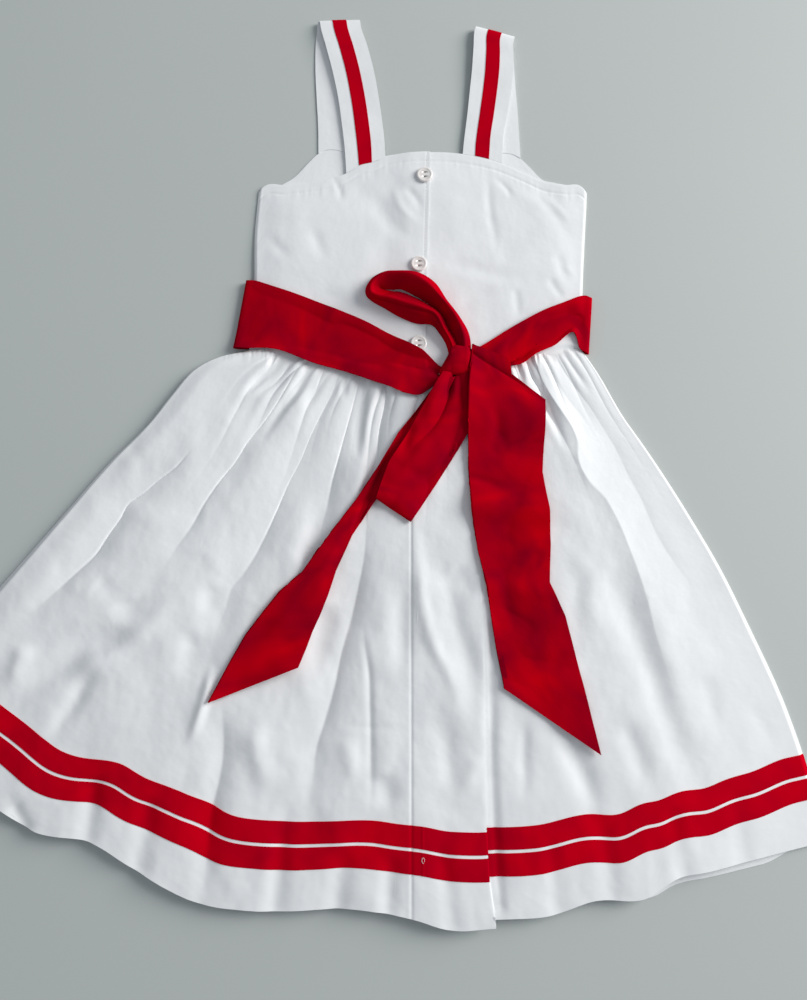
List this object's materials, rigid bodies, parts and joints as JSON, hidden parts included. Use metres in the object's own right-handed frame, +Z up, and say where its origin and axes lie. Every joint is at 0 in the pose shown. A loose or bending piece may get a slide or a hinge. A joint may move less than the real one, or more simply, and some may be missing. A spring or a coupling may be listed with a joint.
{
  "type": "child's sundress with sash, laid flat",
  "caption": "Sleeveless cotton sundress laid flat, with buttoned bodice, ribbon-trimmed straps and hem, gathered skirt and tied sash, a garment to dress a room.",
  "frame": {"origin": "middle of the bounding box in plan, at the level of the surface the dress lies on", "axes": "+Z up from the surface, +Y from the hem towards the straps, +X to the right as seen from above"},
  "size_m": [0.763, 0.8016, 0.0234],
  "materials": {
    "white_cotton": "matte",
    "red_ribbon": "satin",
    "red_sash": "matte",
    "pearl_button": "gloss"
  },
  "bodies": {
    "root": {"bodice_under": "white_cotton", "bodice_upper_left": "white_cotton", "bodice_upper_right": "white_cotton", "skirt_under": "white_cotton", "skirt_upper": "white_cotton", "strap_left": "white_cotton", "strap_right": "white_cotton", "hem_ribbon_upper": "red_ribbon", "hem_ribbon_lower": "red_ribbon", "strap_ribbon_left": "red_ribbon", "strap_ribbon_right": "red_ribbon", "sash_band": "red_sash", "sash_knot": "red_sash", "bow_loop_upper": "red_sash", "bow_loop_lower": "red_sash", "tail_left": "red_sash", "tail_right": "red_sash", "button_1": "pearl_button", "button_2": "pearl_button", "button_3": "pearl_button"}
  },
  "joints": []
}
